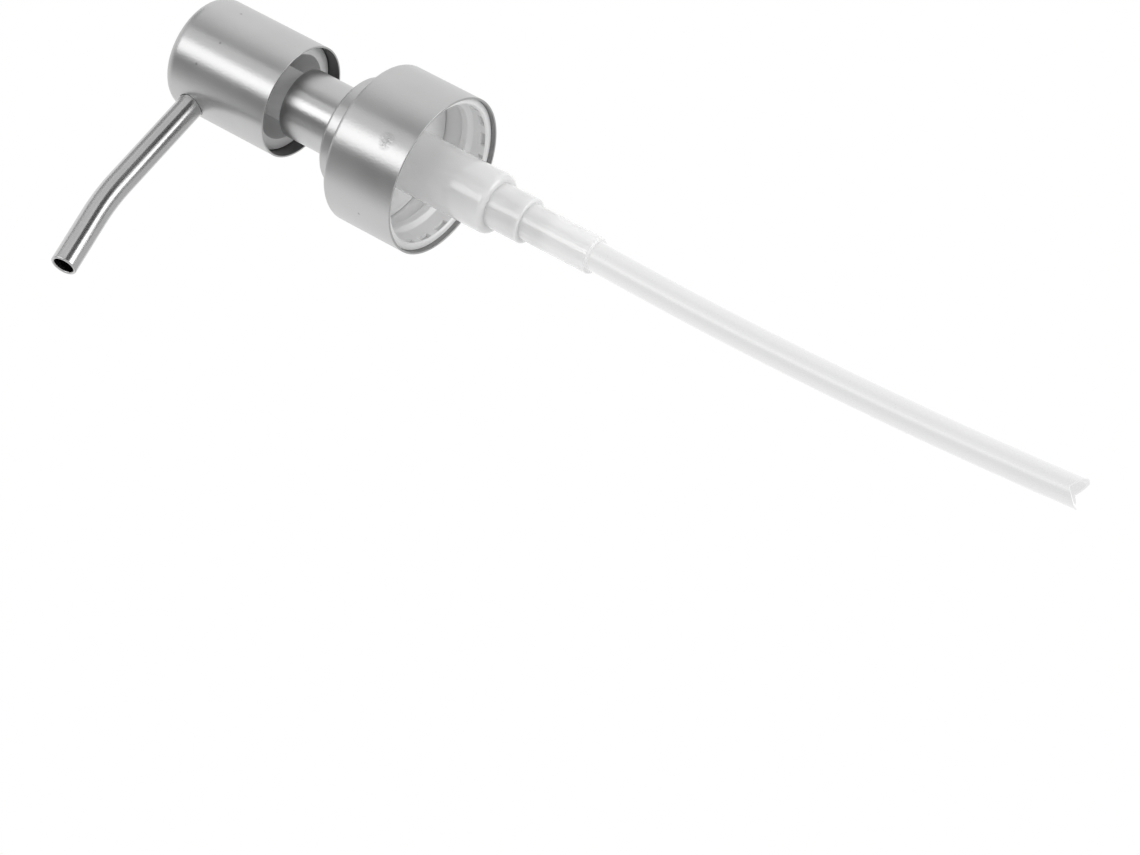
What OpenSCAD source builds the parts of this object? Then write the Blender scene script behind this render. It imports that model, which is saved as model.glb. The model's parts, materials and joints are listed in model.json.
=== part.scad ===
// Hand pump dispenser for a bottle with a 28 mm screw neck.
// Millimetres. +Z runs up the pump's axis, +X is the way the spout points.
// The origin is on the axis, on the face that seals on the bottle's rim.

/* [Head] */
// Outer radius of the steel head shell
head_r = 11.5; // [10.8:0.1:12.5]
// Height of the head's flat top
head_top_z = 49.2; // [48:0.1:52]
// Height of the head shell's open rim
head_rim_z = 24.0; // [23.8:0.1:24.2]
// Rounding of the head's top edge
head_edge_round = 2.6; // [1:0.1:3]
// Sheet thickness of the head shell
head_wall = 0.4; // [0.3:0.05:0.5]
// How far the guide ring sits inside the open rim
ring_recess = 2.6; // [1:0.1:4]
// Inner radius of the guide ring
ring_bore_r = 8.77; // [8:0.01:9.5]
// Radius of the plastic post that holds the stem
post_r = 5.13; // [4:0.01:5.2]

/* [Spout] */
// Outer radius of the spout tube
spout_r = 2.62; // [2.2:0.01:2.8]
// Wall thickness of the spout tube
spout_wall = 0.6; // [0.4:0.05:0.8]
// Height of the spout where it leaves the head
spout_z = 42.3; // [41:0.1:43]
// Level run of the spout outside the head
spout_level_run = 21.2; // [10:0.1:30]
// Radius of the spout's bend, at its centre line
spout_bend_r = 44; // [20:1:80]
// Angle of the spout's bend
spout_bend_angle = 11.6; // [5:0.1:40]
// Straight run after the bend, to the tip
spout_tip_run = 12.1; // [8:0.1:20]

/* [Travel] */
// Press travel of the head
stroke = 12.5; // [8:0.5:12.5]

/* [Collar] */
// Outer radius of the steel collar shell
collar_r = 16; // [15.9:0.1:18]
// Sheet thickness of the collar shell
collar_wall = 0.45; // [0.3:0.05:0.5]
// Depth of the collar's mouth below the sealing face
mouth_depth = 10.6; // [9:0.1:12]
// Height of the collar's shoulder above the sealing face
shoulder_z = 5.6; // [5.6:0.1:6]
// Radius of the step on top of the collar
step_r = 11.25; // [11.2:0.05:12]
// Height of the top of the step
step_z = 10.5; // [10.5:0.1:10.8]
// Rounding of the collar's shoulder
shoulder_round = 1.2; // [0.6:0.1:1.4]
// Radius at the root of the collar's thread
thread_root_r = 14.1; // [14:0.05:14.2]
// Height of the thread ridge
thread_height = 1.0; // [0.6:0.1:1.1]
// Thread pitch, 6 turns to the inch
thread_pitch = 4.233; // [4:0.001:4.5]
// Turns of thread, few enough to leave room for the bottle's rim
thread_turns = 1; // [0.75:0.05:1]

/* [Neck] */
// Outer radius of the steel neck sleeve
neck_r = 7.04; // [7:0.01:7.1]
// Height of the top of the neck sleeve
neck_top_z = 23.7; // [22:0.1:23.8]

/* [Pump housing] */
// Outer radius of the pump chamber
chamber_outer_r = 6.05; // [5.9:0.05:6.1]
// Bore radius of the pump chamber
chamber_r = 5.1; // [5.1:0.05:5.2]
// Depth of the chamber's lower end
chamber_end = 23.7; // [23:0.1:25]
// Outer radius of the spring pocket under the chamber
pocket_outer_r = 4.5; // [4.4:0.1:4.8]
// Depth of the spring pocket's lower end
pocket_end = 31; // [30.8:0.1:32]
// Outer radius of the socket that holds the dip tube
socket_outer_r = 3.65; // [3.5:0.05:4]
// Depth of the socket's open end
socket_end = 46.25; // [44:0.25:50]

/* [Dip tube] */
// Outer radius of the dip tube
tube_r = 2.9; // [2.7:0.05:3]
// Wall thickness of the dip tube
tube_wall = 0.7; // [0.5:0.1:1]
// Length of the bent part of the tube
tube_length = 103; // [80:1:120]
// Lean of the tube where it leaves the socket, away from its curve
lean_angle = 1.5; // [0:0.1:1.5]
// Radius of the tube's long curve
curve_r = 1030; // [800:10:2000]
// Direction that the tube curves towards, around the axis from the spout
curve_azimuth = 153; // [0:1:360]
// Turn of the notch at the tube's end, around the tube
notch_turn = 10; // [0:5:90]
// Depth of the notch
notch_depth = 1.8; // [1:0.1:3]

/* [Valves and spring] */
// Radius of the inlet check ball
ball_r = 1.98; // [1.9:0.01:2]
// Outer radius of the piston stem
stem_r = 2.55; // [2.5:0.01:2.6]
// Radius of the spring's coil, at the wire's centre
spring_r = 2.9; // [2.8:0.05:2.95]
// Thickness of the spring's wire
wire_d = 0.7; // [0.5:0.05:0.8]
// Turns of the spring
spring_turns = 8; // [6:1:9]

/* [Hidden] */
section_fn = 96;
$fn = section_fn;
// long, gentle bends need more steps round their full circle
bend_fn = 1200;

// cuts run this far past the faces that they open
over = 1;
// radial clearance of parts that slide or turn in each other
running = 0.07;
// gap between parts that pass each other closely but don't guide each other
passing = 0.15;
// gap between parts pressed or fitted together
fitted = 0.02;
// room left between parts at the end of their travel
end_room = 0.4;
// a bent length of tube is this much thinner on both faces than the straight length it runs into
hair = 0.015;

steel = [0.74, 0.75, 0.76];
polished = [0.84, 0.85, 0.87];
white = [0.95, 0.95, 0.94];
milky = [0.92, 0.94, 0.95, 0.8];

// levels in the collar, upwards from the sealing face
gasket_top_z = 1.2;
flange_top_z = 2.6;
liner_lip_top_z = 4.3;
bush_flange_z = liner_lip_top_z + passing;
sleeve_foot_z = 5.7;
bush_floor_z = 7.9;
flange_r = 13;
hub_r = 8.4;
bush_flange_r = 9.6;
sleeve_wall = 0.4;

// inside of the head
stem_seat_gap = 1;
ceiling_z = neck_top_z + stroke + 2 * end_room;
head_inner_r = head_r - head_wall;
ring_z = head_rim_z + ring_recess;
post_end_z = bush_floor_z + stroke + end_room;
stem_top_z = ceiling_z - stem_seat_gap;
spout_bore_r = spout_r - spout_wall;
spout_seat_x = 3.2;
stem_bore_r = 1.6;

// plunger levels, downwards from the bush
bush_plug_z = -0.6;
piston_float = 1.2;
piston_length = 5;
// the stem ends this far inside the piston, whose mouth is wider below it
stem_reach = 1.3;
piston_mouth_gap = 0.2;
piston_top_z = bush_plug_z - piston_float - end_room;
piston_end_z = piston_top_z - piston_length;
stem_end_z = piston_top_z - stem_reach;
piston_mouth_r = stem_r + piston_mouth_gap;
tip_neck_r = 2;
cone_r = 3.4;
cone_rim = 0.4;
// the cone slopes at 45 degrees and stops just short of the piston's mouth
cone_top_z = piston_end_z + piston_mouth_r - tip_neck_r - passing;
cone_end_z = cone_top_z - (cone_r - tip_neck_r);
tip_flange_z = cone_end_z - cone_rim;

// inlet valve levels
chamber_floor_thick = 0.8;
ledge_thick = 0.6;
chamber_floor_z = chamber_floor_thick - chamber_end;
retainer_foot_z = ledge_thick - pocket_end;
retainer_thick = 1;
pocket_r = 3.6;
ball_bore_r = 2.6;
inlet_r = 1.35;
inlet_lip = 0.4;
tube_stop_z = -37;
seat_low_z = tube_stop_z + inlet_lip;
seat_high_z = seat_low_z + ball_bore_r - inlet_r;
// a ball on a 45 degree seat has its centre this far above the seat's lower edge
ball_z = seat_low_z + ball_r * sqrt(2) - inlet_r + running;

// the tube is straight down to here, a little way inside the socket's mouth
mouth_inset = 0.3;
tube_bend_z = mouth_inset - socket_end;

// ---------- outlines, drawn as radius and height and spun about Z ----------

// A filled drum with rounded outer corners
module drum(r, z0, z1, low_round = 0, high_round = 0) {
    difference() {
        translate([0, z0]) square([r, z1 - z0]);
        if (low_round > 0)
            translate([r, z0]) corner_waste(low_round);
        if (high_round > 0)
            translate([r, z1]) mirror([0, 1]) corner_waste(high_round);
    }
}

// What a rounding takes off a corner whose tip is at the origin
module corner_waste(f) {
    difference() {
        translate([-f, -over]) square([f + over, f + over]);
        translate([-f, f]) circle(r = f);
    }
}

// A ring of rectangular section
module band(r_in, r_out, z0, z1) {
    translate([r_in, z0]) square([r_out - r_in, z1 - z0]);
}

// A ring-shaped section
module ring_section(r_out, r_in) {
    difference() {
        circle(r = r_out, $fn = section_fn);
        circle(r = r_in, $fn = section_fn);
    }
}

// ---------- helix helpers ----------

// The faces of a tube of sections: each section has the same number of points
function sweep_faces(sections, points) = concat(
    [[for (k = [points - 1:-1:0]) k]],
    [for (i = [0:sections - 2], k = [0:points - 1])
        [i * points + k, i * points + (k + 1) % points,
         (i + 1) * points + (k + 1) % points, (i + 1) * points + k]],
    [[for (k = [0:points - 1]) (sections - 1) * points + k]]);

// A point given by its radius, angle and height
function on_turn(r, angle, z) = [r * cos(angle), r * sin(angle), z];

// ---------- head ----------

module head_shell() {
    spout_gap = 0.1;
    color(steel)
    difference() {
        rotate_extrude() difference() {
            drum(head_r, head_rim_z, head_top_z, high_round = head_edge_round);
            drum(head_inner_r, head_rim_z - over, head_top_z - head_wall,
                 high_round = head_edge_round - head_wall);
        }
        translate([0, 0, spout_z]) rotate([0, 90, 0]) cylinder(r = spout_r + spout_gap, h = head_r + over);
    }
}

module head_core() {
    edge = 0.4;
    color(white)
    difference() {
        rotate_extrude() difference() {
            union() {
                drum(head_inner_r - fitted, ceiling_z, head_top_z - head_wall - fitted,
                     high_round = head_edge_round - head_wall - fitted);
                drum(post_r, post_end_z, ceiling_z + over, low_round = edge);
            }
            band(0, stem_r, post_end_z - over, stem_top_z);
            band(0, stem_bore_r, post_end_z, spout_z);
        }
        translate([0, 0, spout_z]) rotate([0, 90, 0]) {
            cylinder(r = spout_bore_r, h = head_r);
            translate([0, 0, spout_seat_x]) cylinder(r = spout_r + fitted, h = head_r);
        }
    }
}

module head_guide_ring() {
    edge = 0.3;
    color(white)
    rotate_extrude() difference() {
        drum(head_inner_r - fitted, ring_z, ceiling_z, low_round = edge);
        band(0, ring_bore_r, ring_z - over, ceiling_z + over);
    }
}

// The tube lies level from inside the head, bends down and ends in a straight run with a rounded lip;
// the bend reaches a little way into both straight runs
module spout_tube() {
    bend_x = head_r + spout_level_run;
    lip_r = spout_wall / 2;
    lap = 0.2;
    color(polished) union() {
        translate([spout_seat_x, 0, spout_z]) rotate([0, 90, 0])
            linear_extrude(bend_x - spout_seat_x) ring_section(spout_r, spout_bore_r);
        translate([bend_x, 0, spout_z - spout_bend_r]) rotate([90, spout_bend_angle, 0]) {
            rotate([0, 0, 90 - lap]) rotate_extrude(angle = spout_bend_angle + 2 * lap, $fn = bend_fn)
                translate([spout_bend_r, 0]) ring_section(spout_r - hair, spout_bore_r + hair);
            translate([0, spout_bend_r, 0]) rotate([0, 90, 0]) rotate_extrude() {
                band(spout_bore_r, spout_r, 0, spout_tip_run - lip_r);
                translate([spout_r - lip_r, spout_tip_run - lip_r]) circle(r = lip_r);
            }
        }
    }
}

// ---------- plunger ----------

module stem() {
    color(white)
    rotate_extrude() band(stem_bore_r, stem_r, stem_end_z, stem_top_z);
}

// Closes the stem's lower end: the shank fits the stem's bore, the ports lead into it,
// the cone is the piston's valve seat and the spigot centres the spring
module stem_tip() {
    shank_length = 4.5;
    spigot_length = 1.8;
    shank_z = stem_end_z + shank_length;
    spigot_z = tip_flange_z - spigot_length;
    spigot_r = 2.2;
    passage_r = 1;
    port_r = 0.6;
    port_z = (stem_end_z + cone_top_z) / 2;
    color(white)
    difference() {
        rotate_extrude() difference() {
            polygon([[0, spigot_z], [spigot_r, spigot_z], [spigot_r, tip_flange_z],
                     [cone_r, tip_flange_z], [cone_r, cone_end_z], [tip_neck_r, cone_top_z],
                     [tip_neck_r, stem_end_z], [stem_bore_r, stem_end_z],
                     [stem_bore_r, shank_z], [0, shank_z]]);
            band(0, passage_r, port_z - port_r, shank_z + over);
        }
        for (turn = [0, 90])
            translate([0, 0, port_z]) rotate([0, 90, turn])
                cylinder(r = port_r, h = 2 * cone_r, center = true);
    }
}

// A spool with two lips against the chamber and one against the stem
module piston() {
    lip = 1;
    waist_depth = 0.7;
    lip_r = chamber_r - running;
    waist_r = chamber_r - waist_depth;
    color(milky)
    rotate_extrude() difference() {
        union() {
            band(0, lip_r, piston_end_z, piston_end_z + lip);
            band(0, waist_r, piston_end_z, piston_top_z);
            band(0, lip_r, piston_top_z - lip, piston_top_z);
        }
        band(0, stem_r + running, piston_end_z - over, piston_top_z + over);
        band(0, piston_mouth_r, piston_end_z - over, stem_end_z + passing);
    }
}

// Round wire, with one closed turn at each end
module return_spring() {
    steps_per_turn = 20;
    wire_points = 8;
    foot_z = retainer_foot_z + retainer_thick + wire_d / 2 + fitted;
    head_z = tip_flange_z - wire_d / 2 - fitted;
    end_pitch = wire_d + fitted;
    open_pitch = (head_z - foot_z - 2 * end_pitch) / (spring_turns - 2);
    steps = spring_turns * steps_per_turn;
    function wire_z(turns) = foot_z + end_pitch * min(turns, 1)
        + open_pitch * max(0, min(turns - 1, spring_turns - 2))
        + end_pitch * max(0, turns - (spring_turns - 1));
    points = [for (i = [0:steps], k = [0:wire_points - 1])
        let (turns = i / steps_per_turn, around = 360 * k / wire_points)
        on_turn(spring_r + wire_d / 2 * cos(around), 360 * turns, wire_z(turns) + wire_d / 2 * sin(around))];
    color(polished)
    polyhedron(points, sweep_faces(steps + 1, wire_points));
}

// ---------- neck ----------

module neck_sleeve() {
    edge = 0.35;
    color(polished)
    rotate_extrude() difference() {
        drum(neck_r, sleeve_foot_z, neck_top_z, high_round = edge);
        band(0, neck_r - sleeve_wall, sleeve_foot_z - over, neck_top_z + over);
    }
}

// Plugs the housing, guides the stem and carries the neck sleeve;
// its flange holds the collar down and still lets it turn
module guide_bush() {
    bush_wall = 1;
    tube_outer_r = neck_r - sleeve_wall - fitted;
    tube_bore_r = tube_outer_r - bush_wall;
    edge = 0.3;
    color(white)
    rotate_extrude() difference() {
        union() {
            drum(chamber_r - fitted, bush_plug_z, flange_top_z + over, low_round = edge);
            band(0, hub_r, flange_top_z, sleeve_foot_z);
            band(0, bush_flange_r, bush_flange_z, sleeve_foot_z);
            drum(tube_outer_r, bush_flange_z, neck_top_z - edge, high_round = edge);
        }
        band(0, stem_r + running, bush_plug_z - over, bush_floor_z + over);
        band(0, tube_bore_r, bush_floor_z, neck_top_z + over);
        inner_gasket_section();
    }
}

// A flat ring let into the underside of the bush's hub, on the housing's flange
module inner_gasket_section() {
    width = 1.8;
    rim = 0.2;
    thick = 0.6;
    band(hub_r - rim - width, hub_r - rim, flange_top_z, flange_top_z + thick);
}

module inner_gasket() {
    color("whitesmoke") rotate_extrude() inner_gasket_section();
}

// ---------- collar ----------

module collar_shell() {
    inner_r = collar_r - collar_wall;
    step_inner_r = step_r - collar_wall;
    step_round = 0.8;
    color(steel)
    rotate_extrude() difference() {
        union() {
            drum(collar_r, -mouth_depth, shoulder_z, high_round = shoulder_round);
            drum(step_r, shoulder_z - over, step_z, high_round = step_round);
        }
        drum(inner_r, -mouth_depth - over, shoulder_z - collar_wall,
             high_round = shoulder_round - collar_wall);
        drum(step_inner_r, 0, step_z - collar_wall, high_round = step_round - collar_wall);
        band(0, neck_r + passing, 0, step_z + over);
    }
}

// One ridge of the collar's thread, faded in and out over its ends
module thread_ridge() {
    steps_per_turn = 36;
    fade = 1 / 12;
    base_half = 1.4;
    crest_half = 0.7;
    sunk = 0.6;
    root = thread_root_r + sunk;
    least = 0.02;
    start_depth = 2.8;
    first_z = start_depth - mouth_depth;
    first_angle = 333;
    steps = round(thread_turns * steps_per_turn);
    function height(turns) = thread_height
        * min(1, (turns + least) / fade, (thread_turns - turns + least) / fade);
    function ridge(turns) = let (
        z = first_z + turns * thread_pitch,
        angle = first_angle + 360 * turns,
        crest = thread_root_r - height(turns))
        [on_turn(root, angle, z - base_half), on_turn(root, angle, z + base_half),
         on_turn(crest, angle, z + crest_half), on_turn(crest, angle, z - crest_half)];
    points = [for (i = [0:steps]) each ridge(i / steps_per_turn)];
    polyhedron(points, sweep_faces(steps + 1, 4));
}

module collar_liner() {
    rim_depth = 0.95;
    outer_r = collar_r - collar_wall - fitted;
    mouth_z = rim_depth - mouth_depth;
    deck_z = shoulder_z - collar_wall - fitted;
    tower_outer_r = step_r - collar_wall - fitted;
    tower_inner_r = bush_flange_r + passing;
    tower_gap = 0.6;
    tower_z = step_z - collar_wall - tower_gap;
    lip_z = flange_top_z + passing;
    top_round = shoulder_round - collar_wall - fitted;
    pocket_count = 18;
    pocket_size = [1, 2.8, 1.1];
    pocket_level = 0.9;
    mouth_bevel = 0.3;
    bevel_reach = thread_root_r + mouth_bevel + over;
    color(white) union() {
        difference() {
            rotate_extrude() difference() {
                union() {
                    drum(outer_r, mouth_z, deck_z, high_round = top_round);
                    band(0, tower_outer_r, deck_z - over, tower_z);
                }
                band(0, thread_root_r, mouth_z - over, lip_z);
                polygon([[thread_root_r - over, mouth_z - over], [bevel_reach, mouth_z - over],
                         [thread_root_r - over, mouth_z + mouth_bevel + over]]);
                band(0, hub_r + running, mouth_z, step_z);
                band(0, tower_inner_r, liner_lip_top_z, step_z);
            }
            for (i = [0:pocket_count - 1])
                rotate([0, 0, 360 * i / pocket_count])
                    translate([thread_root_r, 0, mouth_z + pocket_level]) cube(pocket_size, center = true);
        }
        thread_ridge();
    }
}

// ---------- housing ----------

module bottle_gasket() {
    bore_gap = 0.05;
    rim_gap = 0.25;
    color("whitesmoke")
    rotate_extrude() band(chamber_outer_r + bore_gap, thread_root_r - rim_gap, 0, gasket_top_z);
}

module pump_housing() {
    chamber_round = 1;
    edge = 0.35;
    vent_r = 0.5;
    vent_z = (piston_top_z + piston_end_z) / 2;
    color(milky)
    difference() {
        rotate_extrude() difference() {
            union() {
                drum(flange_r, gasket_top_z, flange_top_z);
                drum(chamber_outer_r, -chamber_end, gasket_top_z + over, low_round = chamber_round);
                drum(pocket_outer_r, -pocket_end, -chamber_end + over, low_round = edge);
                drum(socket_outer_r, -socket_end, -pocket_end + over, low_round = edge);
            }
            band(0, chamber_r, chamber_floor_z, flange_top_z + over);
            band(0, pocket_r, retainer_foot_z, chamber_floor_z + over);
            polygon([[0, tube_stop_z - over], [inlet_r, tube_stop_z - over], [inlet_r, seat_low_z],
                     [ball_bore_r, seat_high_z], [ball_bore_r, retainer_foot_z + over],
                     [0, retainer_foot_z + over]]);
            band(0, tube_r + fitted, -socket_end - over, tube_stop_z);
        }
        translate([0, 0, vent_z]) rotate([0, -90, 0]) cylinder(r = vent_r, h = chamber_outer_r + over);
    }
}

// Keeps the ball in its bore and carries the spring; liquid passes its holes
module ball_retainer() {
    hole_r = 0.65;
    hole_circle_r = 1.75;
    color(white)
    difference() {
        translate([0, 0, retainer_foot_z]) cylinder(r = pocket_r - fitted, h = retainer_thick);
        for (turn = [0:90:270])
            rotate([0, 0, turn]) translate([hole_circle_r, 0, retainer_foot_z - over])
                cylinder(r = hole_r, h = retainer_thick + 2 * over);
    }
}

module inlet_ball() {
    color(polished) translate([0, 0, ball_z]) sphere(r = ball_r);
}

// ---------- dip tube ----------

// A V across the tube's end, so that it can't seal against the bottle's floor
module end_notch() {
    rotate([90, 0, notch_turn]) linear_extrude(4 * tube_r, center = true)
        polygon([[-tube_r - over, -over], [tube_r + over, -over], [0, notch_depth]]);
}

// The long part of the tube, which bends towards +X as it goes down from the origin
module bent_tube() {
    angle = tube_length / curve_r * 180 / PI;
    difference() {
        translate([curve_r, 0, 0]) rotate([90, 0, 0]) rotate([0, 0, 180])
            rotate_extrude(angle = angle, $fn = bend_fn)
                translate([curve_r, 0]) ring_section(tube_r - hair, tube_r - tube_wall + hair);
        translate([curve_r * (1 - cos(angle)), 0, -curve_r * sin(angle)]) rotate([0, -angle, 0]) end_notch();
    }
}

module dip_tube() {
    lap = 0.2;
    color(milky) union() {
        translate([0, 0, tube_bend_z]) linear_extrude(tube_stop_z - tube_bend_z)
            ring_section(tube_r, tube_r - tube_wall);
        rotate([0, 0, curve_azimuth]) translate([0, 0, tube_bend_z + lap])
            rotate([0, lean_angle, 0]) bent_tube();
    }
}

head_shell();
head_core();
head_guide_ring();
spout_tube();
stem();
stem_tip();
piston();
return_spring();
neck_sleeve();
guide_bush();
inner_gasket();
collar_shell();
collar_liner();
bottle_gasket();
pump_housing();
ball_retainer();
inlet_ball();
dip_tube();
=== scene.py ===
"""A hand pump dispenser in a plain studio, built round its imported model.

Lengths are in metres, in the model's own frame: +Z up the pump, +X the way the spout points, and the
origin on the axis where the pump seals on a bottle.
"""
import json
import math

import bpy
from mathutils import Matrix, Vector

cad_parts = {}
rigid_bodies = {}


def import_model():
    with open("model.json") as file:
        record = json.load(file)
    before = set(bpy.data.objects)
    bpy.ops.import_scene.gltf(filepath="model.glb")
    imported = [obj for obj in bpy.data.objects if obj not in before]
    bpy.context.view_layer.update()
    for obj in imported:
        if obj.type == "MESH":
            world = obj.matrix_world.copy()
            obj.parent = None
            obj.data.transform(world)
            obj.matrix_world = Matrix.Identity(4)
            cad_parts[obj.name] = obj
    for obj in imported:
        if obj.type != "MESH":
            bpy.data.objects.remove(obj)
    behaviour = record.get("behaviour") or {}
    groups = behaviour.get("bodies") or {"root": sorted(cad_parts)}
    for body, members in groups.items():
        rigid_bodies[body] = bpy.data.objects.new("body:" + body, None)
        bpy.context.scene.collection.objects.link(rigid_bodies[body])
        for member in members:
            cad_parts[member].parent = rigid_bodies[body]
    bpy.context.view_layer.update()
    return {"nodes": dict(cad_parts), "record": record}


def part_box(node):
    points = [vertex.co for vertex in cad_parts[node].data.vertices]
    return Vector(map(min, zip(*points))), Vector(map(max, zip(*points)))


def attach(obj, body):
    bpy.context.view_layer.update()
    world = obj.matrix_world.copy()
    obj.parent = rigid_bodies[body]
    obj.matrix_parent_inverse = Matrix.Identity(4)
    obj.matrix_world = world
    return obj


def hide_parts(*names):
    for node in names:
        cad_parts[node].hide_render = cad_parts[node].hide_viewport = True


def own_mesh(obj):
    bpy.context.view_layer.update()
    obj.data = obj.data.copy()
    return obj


for leftover in list(bpy.data.objects):
    bpy.data.objects.remove(leftover)

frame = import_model()

MM = 0.001
NODES = frame["nodes"]
MOUNTS = {mount["name"]: mount for mount in frame["record"]["mounts"]}
BODY_OF = {node: body for body, nodes in frame["record"]["behaviour"]["bodies"].items() for node in nodes}
SIDES = 192
SHARP_ANGLE = math.radians(35)


# ---------- places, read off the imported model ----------

class Span:
    """How far a node reaches: its radius round the axis, and its lowest and highest level."""

    def __init__(self, node):
        low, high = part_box(node)
        self.radius = high[1]
        self.low = low[2]
        self.high = high[2]


# ---------- meshes ----------

def arc(centre_r, centre_s, radius, start, end, steps=8):
    """Points round part of a circle, as (radius, distance along the axis). Angles in degrees."""
    angles = [math.radians(start + (end - start) * i / steps) for i in range(steps + 1)]
    return [(centre_r + radius * math.cos(a), centre_s + radius * math.sin(a)) for a in angles]


def run(radius, start, end, step):
    """Evenly spaced points at one radius."""
    count = math.ceil(abs(end - start) / step)
    return [(radius, start + (end - start) * i / count) for i in range(count + 1)]


def upright(radius, height, angle):
    """Places an outline's point round the Z axis."""
    return (radius * math.cos(angle), radius * math.sin(angle), height)


def revolve(name, outline, place=upright, sides=SIDES):
    """Spins an outline of (radius, distance) points, which closes on itself or has both ends on the axis."""
    on_axis = outline[0][0] == 0
    verts, rings, faces = [], [], []
    for radius, distance in outline:
        count = 1 if radius == 0 else sides
        rings.append([len(verts) + i for i in range(count)])
        verts += [place(radius, distance, math.tau * i / sides) for i in range(count)]
    for near, far in zip(rings, rings[1:] if on_axis else rings[1:] + rings[:1]):
        for i in range(sides):
            corners = [near[i % len(near)], near[(i + 1) % len(near)],
                       far[(i + 1) % len(far)], far[i % len(far)]]
            faces.append(list(dict.fromkeys(corners)))
    mesh = bpy.data.meshes.new(name)
    mesh.from_pydata(verts, [], faces)
    obj = bpy.data.objects.new(name, mesh)
    bpy.context.scene.collection.objects.link(obj)
    bpy.context.view_layer.objects.active = obj
    bpy.ops.object.mode_set(mode="EDIT")
    bpy.ops.mesh.select_all(action="SELECT")
    bpy.ops.mesh.normals_make_consistent(inside=False)
    bpy.ops.object.mode_set(mode="OBJECT")
    shade(obj)
    return obj


def shade(obj):
    """Smooth shading that keeps the sharp edges."""
    obj.data.shade_smooth()
    obj.data.set_sharp_from_angle(angle=SHARP_ANGLE)


def cut(obj, cutter):
    """Takes the cutter's shape out of the object."""
    hole = obj.modifiers.new("hole", "BOOLEAN")
    hole.object = cutter
    hole.solver = "EXACT"
    bpy.context.view_layer.objects.active = obj
    bpy.ops.object.modifier_apply(modifier=hole.name)
    bpy.data.objects.remove(cutter)
    shade(obj)


def line_inside(obj, finish):
    """Gives the faces that look towards the axis, to within 60 degrees, a second finish: a darker steel,
    which paints in the shade inside the part.
    """
    obj.data.materials.append(finish)
    for face in obj.data.polygons:
        outward = face.center.xy.normalized()
        if face.normal.xy.dot(outward) < -math.cos(math.radians(60)):
            face.material_index = 1


def stand_for(obj, node, finish, body=None):
    """Puts a piece in a CAD node's place."""
    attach(obj, body or BODY_OF[node])
    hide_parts(node)
    obj.data.materials.append(finish)


# ---------- finishes ----------

class Finish:
    """A material built up on a Principled shader, in the object's own coordinates."""

    def __init__(self, name, **settings):
        self.material = bpy.data.materials.new(name)
        self.material.use_nodes = True
        self.tree = self.material.node_tree
        self.shader = self.tree.nodes["Principled BSDF"]
        for socket, value in settings.items():
            self.shader.inputs[socket.replace("_", " ")].default_value = value

    def node(self, kind, **settings):
        """Adds a node to the material's tree, with its own settings."""
        made = self.tree.nodes.new(kind)
        for name, value in settings.items():
            setattr(made, name, value)
        return made

    def noise(self, per_metre, detail=2.0, distortion=0.0):
        """Noise from 0 to 1, with its own number of features a metre along X, Y and Z."""
        place = self.node("ShaderNodeTexCoord")
        stretch = self.node("ShaderNodeMapping")
        stretch.inputs["Scale"].default_value = per_metre
        noise = self.node("ShaderNodeTexNoise")
        noise.inputs["Scale"].default_value = 1
        noise.inputs["Detail"].default_value = detail
        noise.inputs["Distortion"].default_value = distortion
        self.tree.links.new(place.outputs["Object"], stretch.inputs["Vector"])
        self.tree.links.new(stretch.outputs["Vector"], noise.inputs["Vector"])
        return noise.outputs["Fac"]

    def near(self, places, reach):
        """A mask of small round spots: 1 at each place, 0 from the reach on."""
        here = self.node("ShaderNodeTexCoord").outputs["Object"]
        mask = None
        for place in places:
            distance = self.node("ShaderNodeVectorMath", operation="DISTANCE")
            distance.inputs[1].default_value = place
            self.tree.links.new(here, distance.inputs[0])
            spot = self.remap(distance.outputs["Value"], 1, 0, 0, reach)
            if mask is not None:
                both = self.node("ShaderNodeMath", operation="MAXIMUM")
                self.tree.links.new(mask, both.inputs[0])
                self.tree.links.new(spot, both.inputs[1])
                spot = both.outputs["Value"]
            mask = spot
        return mask

    def times(self, value, other):
        """Multiplies two values."""
        product = self.node("ShaderNodeMath", operation="MULTIPLY")
        self.tree.links.new(value, product.inputs[0])
        self.tree.links.new(other, product.inputs[1])
        return product.outputs["Value"]

    def remap(self, value, low, high, source_low=0.3, source_high=0.7):
        """Stretches a value to run from low to high, and no further."""
        remap = self.node("ShaderNodeMapRange")
        for socket, number in (("From Min", source_low), ("From Max", source_high),
                               ("To Min", low), ("To Max", high)):
            remap.inputs[socket].default_value = number
        self.tree.links.new(value, remap.inputs["Value"])
        return remap.outputs["Result"]

    def tint(self, value, dark, light):
        """Colours the surface between two colours, where dark as None keeps the colour from before."""
        colour = self.shader.inputs["Base Color"]
        before = colour.links[0].from_socket if colour.links else None
        mix = self.node("ShaderNodeMix", data_type="RGBA")
        for socket, shade_of_it in (("A", dark), ("B", light)):
            if shade_of_it is None:
                self.tree.links.new(before, mix.inputs[socket])
            else:
                mix.inputs[socket].default_value = (*shade_of_it, 1)
        self.tree.links.new(value, mix.inputs["Factor"])
        self.tree.links.new(mix.outputs["Result"], colour)

    def drive(self, value, socket):
        """Lets a value set one of the shader's sockets."""
        self.tree.links.new(value, self.shader.inputs[socket])

    def bump(self, value, height):
        """Raises the surface by the value times the height. A second call adds to the first."""
        bump = self.node("ShaderNodeBump")
        bump.inputs["Distance"].default_value = height
        before = self.shader.inputs["Normal"].links
        if before:
            self.tree.links.new(before[0].from_socket, bump.inputs["Normal"])
        self.tree.links.new(value, bump.inputs["Height"])
        self.tree.links.new(bump.outputs["Normal"], self.shader.inputs["Normal"])


def grey(value):
    return (value, value, value)


def evenly(count):
    """The same number of features a metre along X, Y and Z."""
    return (count, count, count)


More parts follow.
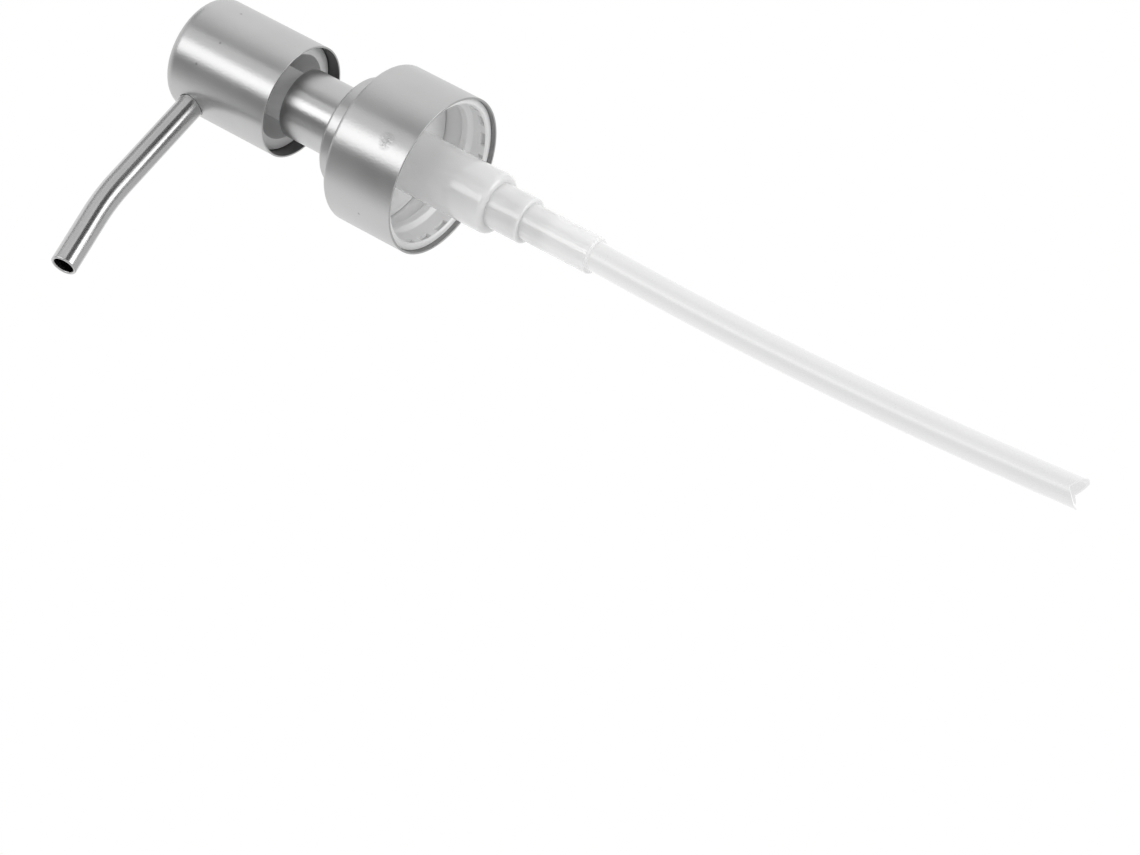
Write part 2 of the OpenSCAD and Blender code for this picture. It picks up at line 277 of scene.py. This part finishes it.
SMUDGES = evenly(90)
SATIN = evenly(2600)
CRINKLES = evenly(2200)
CLOUDS = evenly(120)
SKIN = evenly(1500)
EVEN_GRAIN = evenly(3000)
ROUND_GRAIN = (80, 80, 5000)
LONG_GRAIN = (5000, 80, 80)


def on_side(node, azimuth, level_mm):
    """A place on a round node's side."""
    return upright(Span(node).radius, level_mm * MM, math.radians(azimuth))


def brushed_steel(name, shade_of_grey, roughness, grain, axis, satin_depth=0.015 * MM, specks=(), dents=()):
    """Steel brushed round an axis. Grain is the fine lines' features a metre along X, Y and Z."""
    steel = Finish(name, Metallic=1.0, Anisotropic=0.7, Anisotropic_Rotation=0.25)
    line_depth = satin_depth / 6
    speck_reach, speck_shade = 0.35 * MM, 0.25
    dent_reach, dent_depth = 1.8 * MM, 0.25 * MM
    smudges = steel.noise(SMUDGES, detail=3)
    steel.tint(steel.remap(smudges, 0, 1), grey(shade_of_grey * 0.96), grey(shade_of_grey * 1.04))
    steel.drive(steel.remap(smudges, roughness - 0.02, roughness + 0.02), "Roughness")
    steel.bump(steel.noise(grain), line_depth)
    steel.bump(steel.noise(SATIN), satin_depth)
    if specks:
        steel.tint(steel.near(specks, speck_reach), None, grey(speck_shade))
    if dents:
        crinkles = steel.noise(CRINKLES, distortion=1)
        steel.bump(steel.times(steel.near(dents, dent_reach), crinkles), dent_depth)
    tangent = steel.node("ShaderNodeTangent", direction_type="RADIAL", axis=axis)
    steel.drive(tangent.outputs["Tangent"], "Tangent")
    return steel.material


def moulded_plastic(name, shade_of_grey, roughness, milky_depth=0, glow=0, gloss=1):
    """Moulded plastic with a faint orange-peel surface and slight clouding.

    Light soaks in to the milky depth. Glow stands in for the light that comes through from behind.
    """
    plastic = Finish(name, Specular_IOR_Level=gloss, Subsurface_Weight=1 if milky_depth else 0,
                     Subsurface_Radius=(1, 1, 1), Subsurface_Scale=milky_depth,
                     Emission_Color=(1, 1, 1, 1), Emission_Strength=glow)
    clouds = plastic.noise(CLOUDS, detail=3)
    skin = plastic.noise(SKIN)
    skin_depth = 0.005 * MM
    plastic.tint(plastic.remap(clouds, 0, 1), grey(shade_of_grey * 0.98), grey(shade_of_grey))
    plastic.drive(plastic.remap(skin, roughness - 0.03, roughness + 0.03), "Roughness")
    plastic.bump(skin, skin_depth)
    return plastic.material


SPECKS = [on_side("collar_shell", 6.5, -3.2), on_side("head_shell", 49, 41.7),
          on_side("head_shell", 77, 39.1), on_side("head_shell", 119, 40.9)]
DENTS = [on_side("collar_shell", 66, -5.3)]

satin_steel = brushed_steel("satin_steel", 0.52, 0.34, ROUND_GRAIN, "Z", specks=SPECKS, dents=DENTS)
neck_steel = brushed_steel("neck_steel", 0.52, 0.3, ROUND_GRAIN, "Z")
spout_steel = brushed_steel("spout_steel", 0.54, 0.24, LONG_GRAIN, "X", satin_depth=0.003 * MM)
# Darker steel that paints in the shade inside the head shell and in the spout's bore.
painted_shade_inner_steel = brushed_steel("painted_shade_inner_steel", 0.12, 0.3, EVEN_GRAIN, "Z")
# Darker steel that paints in the shade inside the collar.
painted_shade_collar_steel = brushed_steel("painted_shade_collar_steel", 0.3, 0.4, EVEN_GRAIN, "Z")
spring_steel = brushed_steel("spring_steel", 0.5, 0.3, EVEN_GRAIN, "Z")
ball_steel = brushed_steel("ball_steel", 0.55, 0.12, EVEN_GRAIN, "Z")
white_plastic = moulded_plastic("white_plastic", 0.9, 0.4)
# A grey plastic that paints in the shade in the liner's pockets.
painted_shade_plastic = moulded_plastic("painted_shade_plastic", 0.68, 0.5)
milky_plastic = moulded_plastic("milky_plastic", 0.8, 0.14, milky_depth=2.5 * MM, glow=0.05)
tube_plastic = moulded_plastic("tube_plastic", 0.26, 0.3, glow=0.52)
gasket_foam = moulded_plastic("gasket_foam", 0.9, 0.6, gloss=0.3)

FINISHES = {
    "head_core": white_plastic, "head_guide_ring": white_plastic, "stem": white_plastic,
    "stem_tip": white_plastic, "piston": milky_plastic, "neck_sleeve": neck_steel,
    "guide_bush": white_plastic, "inner_gasket": gasket_foam, "bottle_gasket": gasket_foam,
    "pump_housing": milky_plastic, "ball_retainer": white_plastic, "inlet_ball": ball_steel,
    "dip_tube": tube_plastic,
}
for node_name, finish in FINISHES.items():
    materials = NODES[node_name].data.materials
    materials.clear()
    materials.append(finish)


# ---------- head, collar, spout and spring, finer than their CAD solids ----------

def add_head_shell():
    """A drawn steel cup, with a round edge at its closed end and a smoothed rim."""
    span = Span("head_shell")
    wall, edge, lip = 0.4 * MM, 2.6 * MM, 0.12 * MM
    outer, inner = span.radius, span.radius - wall
    shell = revolve("head_shell_steel", [
        (0, span.high),
        *arc(outer - edge, span.high - edge, edge, 90, 0, steps=20),
        *arc(outer - lip, span.low + lip, lip, 0, -90),
        *arc(inner + lip, span.low + lip, lip, -90, -180),
        *arc(inner - edge + wall, span.high - edge, edge - wall, 0, 90, steps=20),
        (0, span.high - wall)])
    gap = 0.1 * MM
    spout = Span("spout_tube")
    level = spout.high - spout.radius

    def across(radius, distance, angle):
        """Places a point round the spout's own line, which runs along X."""
        return (distance, radius * math.cos(angle), level + radius * math.sin(angle))

    hole = spout.radius + gap
    cut(shell, revolve("spout_hole", [(0, 0), (hole, 0), (hole, 2 * outer), (0, 2 * outer)], across))
    stand_for(shell, "head_shell", satin_steel)
    # The inward faces get the darker steel: painted shade inside the cup.
    line_inside(shell, painted_shade_inner_steel)


def add_collar_shell():
    """A drawn steel cap with a step on top, a smoothed rim and a hole for the neck."""
    span, neck = Span("collar_shell"), Span("neck_sleeve")
    wall, lip, fillet = 0.45 * MM, 0.12 * MM, 0.3 * MM
    shoulder, shoulder_round = 5.6 * MM, 1.1 * MM
    step_r, step_round = 11.25 * MM, 0.8 * MM
    outer, inner = span.radius, span.radius - wall
    hole = neck.radius + 0.15 * MM
    shell = revolve("collar_shell_steel", [
        *arc(outer - lip, span.low + lip, lip, -90, 0),
        *arc(outer - shoulder_round, shoulder - shoulder_round, shoulder_round, 0, 90, steps=14),
        *arc(step_r + fillet, shoulder + fillet, fillet, -90, -180),
        *arc(step_r - step_round, span.high - step_round, step_round, 0, 90, steps=12),
        *arc(hole + lip, span.high - lip, lip, 90, 180),
        (hole, span.high - wall),
        *arc(step_r - step_round, span.high - step_round, step_round - wall, 90, 0),
        (step_r - wall, shoulder - wall),
        *arc(outer - shoulder_round, shoulder - shoulder_round, shoulder_round - wall, 90, 0),
        *arc(inner + lip, span.low + lip, lip, 180, 270)])
    stand_for(shell, "collar_shell", satin_steel)
    # The inward faces get the darker steel: painted shade inside the cap.
    line_inside(shell, painted_shade_collar_steel)


def add_collar_liner():
    """The moulded screw cap inside the collar, with its thread and the pockets near its mouth."""
    span, hub = Span("collar_liner"), Span("inner_gasket")
    root = MOUNTS["bottle_thread"]["dims"]["r_mm"] * MM
    deck, lip, ledge = 5.13 * MM, 2.75 * MM, 4.3 * MM
    tower, tower_bore = 10.78 * MM, 9.75 * MM
    bore = hub.radius + 0.27 * MM
    bevel = 0.3 * MM
    soft, crisp = 0.12 * MM, 0.04 * MM
    thread_low, pitch, start = 1.85 * MM, 4.233 * MM, 333
    crest, foot, height, fade = 0.6 * MM, 1.5 * MM, 1.0 * MM, 1 / 12
    pockets, pocket_length, pocket_half, pocket_depth = 18, 2.8 * MM, 0.55 * MM, 0.5 * MM
    pocket_level = span.low + 0.9 * MM
    sides, ring_gap = 540, 0.1 * MM

    def slope(value, low, high):
        """Rises smoothly from 0 at low to 1 at high."""
        share = min(1, max(0, (value - low) / (high - low)))
        return share * share * (3 - 2 * share)

    def ridge(level, degrees):
        """How far the thread's one turn stands in from the bore, fading out at both ends."""
        done = (degrees - start) % 360 / 360
        away = abs(level - span.low - thread_low - done * pitch)
        ends = slope(min(done, 1 - done), 0, fade)
        return height * ends * (1 - slope(away, crest, foot))

    def pocket(level, degrees):
        """How far a pocket goes out from the bore."""
        along = abs((degrees * pockets / 360 + 0.5) % 1 - 0.5) * math.tau * root / pockets
        inside = 1 - slope(along, pocket_length / 2 - crisp, pocket_length / 2 + crisp)
        away = abs(level - pocket_level)
        return pocket_depth * inside * (1 - slope(away, pocket_half - crisp, pocket_half + crisp))

    def threaded(radius, level, angle):
        """Places a point round the liner, where only the bore has the thread and the pockets."""
        if radius == root:
            degrees = math.degrees(angle)
            rise = ridge(level, degrees)
            radius += pocket(level, degrees) if rise == 0 else -rise
        return upright(radius, level, angle)

    liner = revolve("collar_liner_moulded", [
        (root + bevel, span.low),
        *arc(span.radius - soft, span.low + soft, soft, -90, 0),
        (span.radius, deck),
        (tower, deck),
        (tower, span.high),
        (tower_bore, span.high),
        (tower_bore, ledge),
        (bore, ledge),
        (bore, lip),
        *run(root, lip, span.low + bevel, ring_gap)], threaded, sides)
    stand_for(liner, "collar_liner", white_plastic)
    # The pocket faces get the grey plastic: painted shade in the pockets.
    liner.data.materials.append(painted_shade_plastic)
    for face in liner.data.polygons:
        reach = face.center.xy.length
        in_pocket = root + pocket_depth / 2 < reach < root + pocket_depth + crisp
        if in_pocket and abs(face.center.z - pocket_level) < pocket_half + crisp:
            face.material_index = 1


def add_spout():
    """The bent spout tube with a rounded lip."""
    low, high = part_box("spout_tube")
    tip = MOUNTS["spout_tip"]
    radius, wall, bend = high[1], 0.6 * MM, 44 * MM
    level_z = high[2] - radius
    bend_angle = math.acos(tip["axis"][0])
    straight = tip["dims"]["length_mm"] * MM
    level_run = tip["pos_m"][0] - low[0] - bend * math.sin(bend_angle) - straight * math.cos(bend_angle)
    lip = wall / 2
    length = level_run + bend * bend_angle + straight
    sides, ring_gap = 96, 0.5 * MM

    def on_spout(across, along, angle):
        """Places a point round the spout's bent middle line."""
        turned = min(max(along - level_run, 0) / bend, bend_angle)
        beyond = max(along - level_run - bend * bend_angle, 0)
        x = low[0] + min(along, level_run) + bend * math.sin(turned) + beyond * math.cos(turned)
        z = level_z - bend * (1 - math.cos(turned)) - beyond * math.sin(turned)
        up = across * math.cos(angle)
        return (x + up * math.sin(turned), across * math.sin(angle), z + up * math.cos(turned))

    outside = run(radius, 0, length, ring_gap)
    rim = arc(radius - lip, length, lip, 10, 170)
    bore = run(radius - wall, length, 0, ring_gap)
    spout = revolve("spout_steel_tube", outside + rim + bore, on_spout, sides)
    stand_for(spout, "spout_tube", spout_steel)
    # The bore gets the darker steel: painted shade inside the tube.
    spout.data.materials.append(painted_shade_inner_steel)
    first_in_bore = len(outside + rim) * sides
    for face in spout.data.polygons[first_in_bore:]:
        face.material_index = 1


def add_return_spring():
    """A spring of round wire with a closed turn at each end, fixed to the pump body."""
    span = Span("return_spring")
    wire, turns = 0.35 * MM, 8
    sides, rings_a_turn = 16, 32
    coil = span.radius - wire
    end_pitch = 2 * wire + 0.02 * MM
    open_pitch = (span.high - span.low - 2 * wire - 2 * end_pitch) / (turns - 2)

    def on_coil(across, turn, angle):
        """Places a point round the wire, where the distance along it is counted in turns."""
        climb = (end_pitch * (min(turn, 1) + max(turn - turns + 1, 0))
                 + open_pitch * min(max(turn - 1, 0), turns - 2))
        around = math.tau * turn
        reach = coil + across * math.cos(angle)
        return (reach * math.cos(around), reach * math.sin(around),
                span.low + wire + climb + across * math.sin(angle))

    spring = revolve("return_spring_wire",
                     [(0, 0), *run(wire, 0, turns, 1 / rings_a_turn), (0, turns)], on_coil, sides)
    stand_for(spring, "return_spring", spring_steel, body="pump_body")
    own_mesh(spring)


add_head_shell()
add_collar_shell()
add_collar_liner()
add_spout()
add_return_spring()


# ---------- studio ----------

CAMERA_AZIMUTH = 65.9
CAMERA_ELEVATION = -25.1
CAMERA_ROLL = -61.2
CAMERA_DISTANCE = 677.8 * MM
CAMERA_TARGET = Vector((27.0, -12.1, -58.2)) * MM
CAMERA_LENS = 118.5


def direction(azimuth, elevation):
    """The unit vector with these angles in degrees."""
    around, up = math.radians(azimuth), math.radians(elevation)
    return Vector((math.cos(up) * math.cos(around), math.cos(up) * math.sin(around), math.sin(up)))


def add_camera():
    towards = direction(CAMERA_AZIMUTH, CAMERA_ELEVATION)
    data = bpy.data.cameras.new("camera")
    data.lens = CAMERA_LENS
    camera = bpy.data.objects.new("camera", data)
    turned = towards.to_track_quat("Z", "Y").to_matrix() @ Matrix.Rotation(math.radians(CAMERA_ROLL), 3, "Z")
    camera.matrix_world = Matrix.LocRotScale(CAMERA_TARGET + towards * CAMERA_DISTANCE, turned, None)
    bpy.context.scene.collection.objects.link(camera)
    bpy.context.scene.camera = camera


def add_softbox(name, azimuth, elevation, width, height, distance, power):
    """A soft light that faces the pump."""
    data = bpy.data.lights.new(name, "AREA")
    data.shape = "RECTANGLE"
    data.size = width
    data.size_y = height
    data.energy = power
    light = bpy.data.objects.new(name, data)
    towards = direction(azimuth, elevation)
    light.matrix_world = Matrix.LocRotScale(towards * distance, towards.to_track_quat("Z", "Y"), None)
    light.visible_camera = False
    bpy.context.scene.collection.objects.link(light)


def add_panel(name, half, finish):
    """A square panel that lies level at the origin."""
    mesh = bpy.data.meshes.new(name)
    corners = [(-half, -half, 0), (half, -half, 0), (half, half, 0), (-half, half, 0)]
    mesh.from_pydata(corners, [], [(0, 1, 2, 3)])
    mesh.materials.append(finish)
    panel = bpy.data.objects.new(name, mesh)
    bpy.context.scene.collection.objects.link(panel)
    return panel


def add_floor():
    """A plain pale floor, low enough to look at the pump from below."""
    paint = Finish("floor_paint", Roughness=0.9)
    paint.tint(paint.remap(paint.noise(evenly(6)), 0, 1), grey(0.78), grey(0.8))
    floor = add_panel("floor", 8.0, paint.material)
    floor.location.z = -1.2


def add_dark_card(name, azimuth, elevation, half, distance, shade_of_grey):
    """A card that holds light off the steel, which gives it its dark streaks."""
    felt = Finish(name, Roughness=0.9)
    felt.tint(felt.remap(felt.noise(evenly(40)), 0, 1), grey(shade_of_grey * 0.9), grey(shade_of_grey))
    card = add_panel(name, half, felt.material)
    towards = direction(azimuth, elevation)
    card.matrix_world = Matrix.LocRotScale(towards * distance, towards.to_track_quat("Z", "Y"), None)
    card.visible_camera = False


def add_room():
    """An even pale room, darker on the side where the camera stands, with a white backdrop."""
    world = bpy.data.worlds.new("room")
    bpy.context.scene.world = world
    world.use_nodes = True
    tree = world.node_tree
    tree.nodes.clear()
    new, link = tree.nodes.new, tree.links.new
    darkest_way = direction(52, 15)
    place = new("ShaderNodeTexCoord")
    side = new("ShaderNodeVectorMath")
    side.operation = "DOT_PRODUCT"
    side.inputs[1].default_value = darkest_way
    shade_side = new("ShaderNodeMapRange")
    shade_side.interpolation_type = "SMOOTHSTEP"
    shade_side.inputs["From Min"].default_value = 0.25
    shade_side.inputs["From Max"].default_value = 0.95
    shade_side.inputs["To Min"].default_value = 1.05
    shade_side.inputs["To Max"].default_value = 0.25
    lit = new("ShaderNodeBackground")
    backdrop = new("ShaderNodeBackground")
    backdrop.inputs["Color"].default_value = (1, 1, 1, 1)
    path = new("ShaderNodeLightPath")
    mix = new("ShaderNodeMixShader")
    out = new("ShaderNodeOutputWorld")
    link(place.outputs["Generated"], side.inputs[0])
    link(side.outputs["Value"], shade_side.inputs["Value"])
    link(shade_side.outputs["Result"], lit.inputs["Color"])
    link(path.outputs["Is Camera Ray"], mix.inputs["Fac"])
    link(lit.outputs["Background"], mix.inputs[1])
    link(backdrop.outputs["Background"], mix.inputs[2])
    link(mix.outputs["Shader"], out.inputs["Surface"])


add_camera()
add_floor()
add_room()
add_dark_card("low_card", azimuth=118, elevation=-17, half=0.12, distance=0.4, shade_of_grey=0.02)
add_dark_card("high_card", azimuth=135, elevation=61, half=0.1, distance=0.4, shade_of_grey=0.6)
add_softbox("key", azimuth=54.5, elevation=25, width=0.34, height=0.7, distance=0.8, power=1.12)
add_softbox("key_edge", azimuth=69, elevation=25, width=0.62, height=0.9, distance=0.85, power=1.25)
add_softbox("low", azimuth=145, elevation=-54, width=0.24, height=0.24, distance=0.4, power=0.45)
bpy.context.scene.view_settings.view_transform = "Standard"
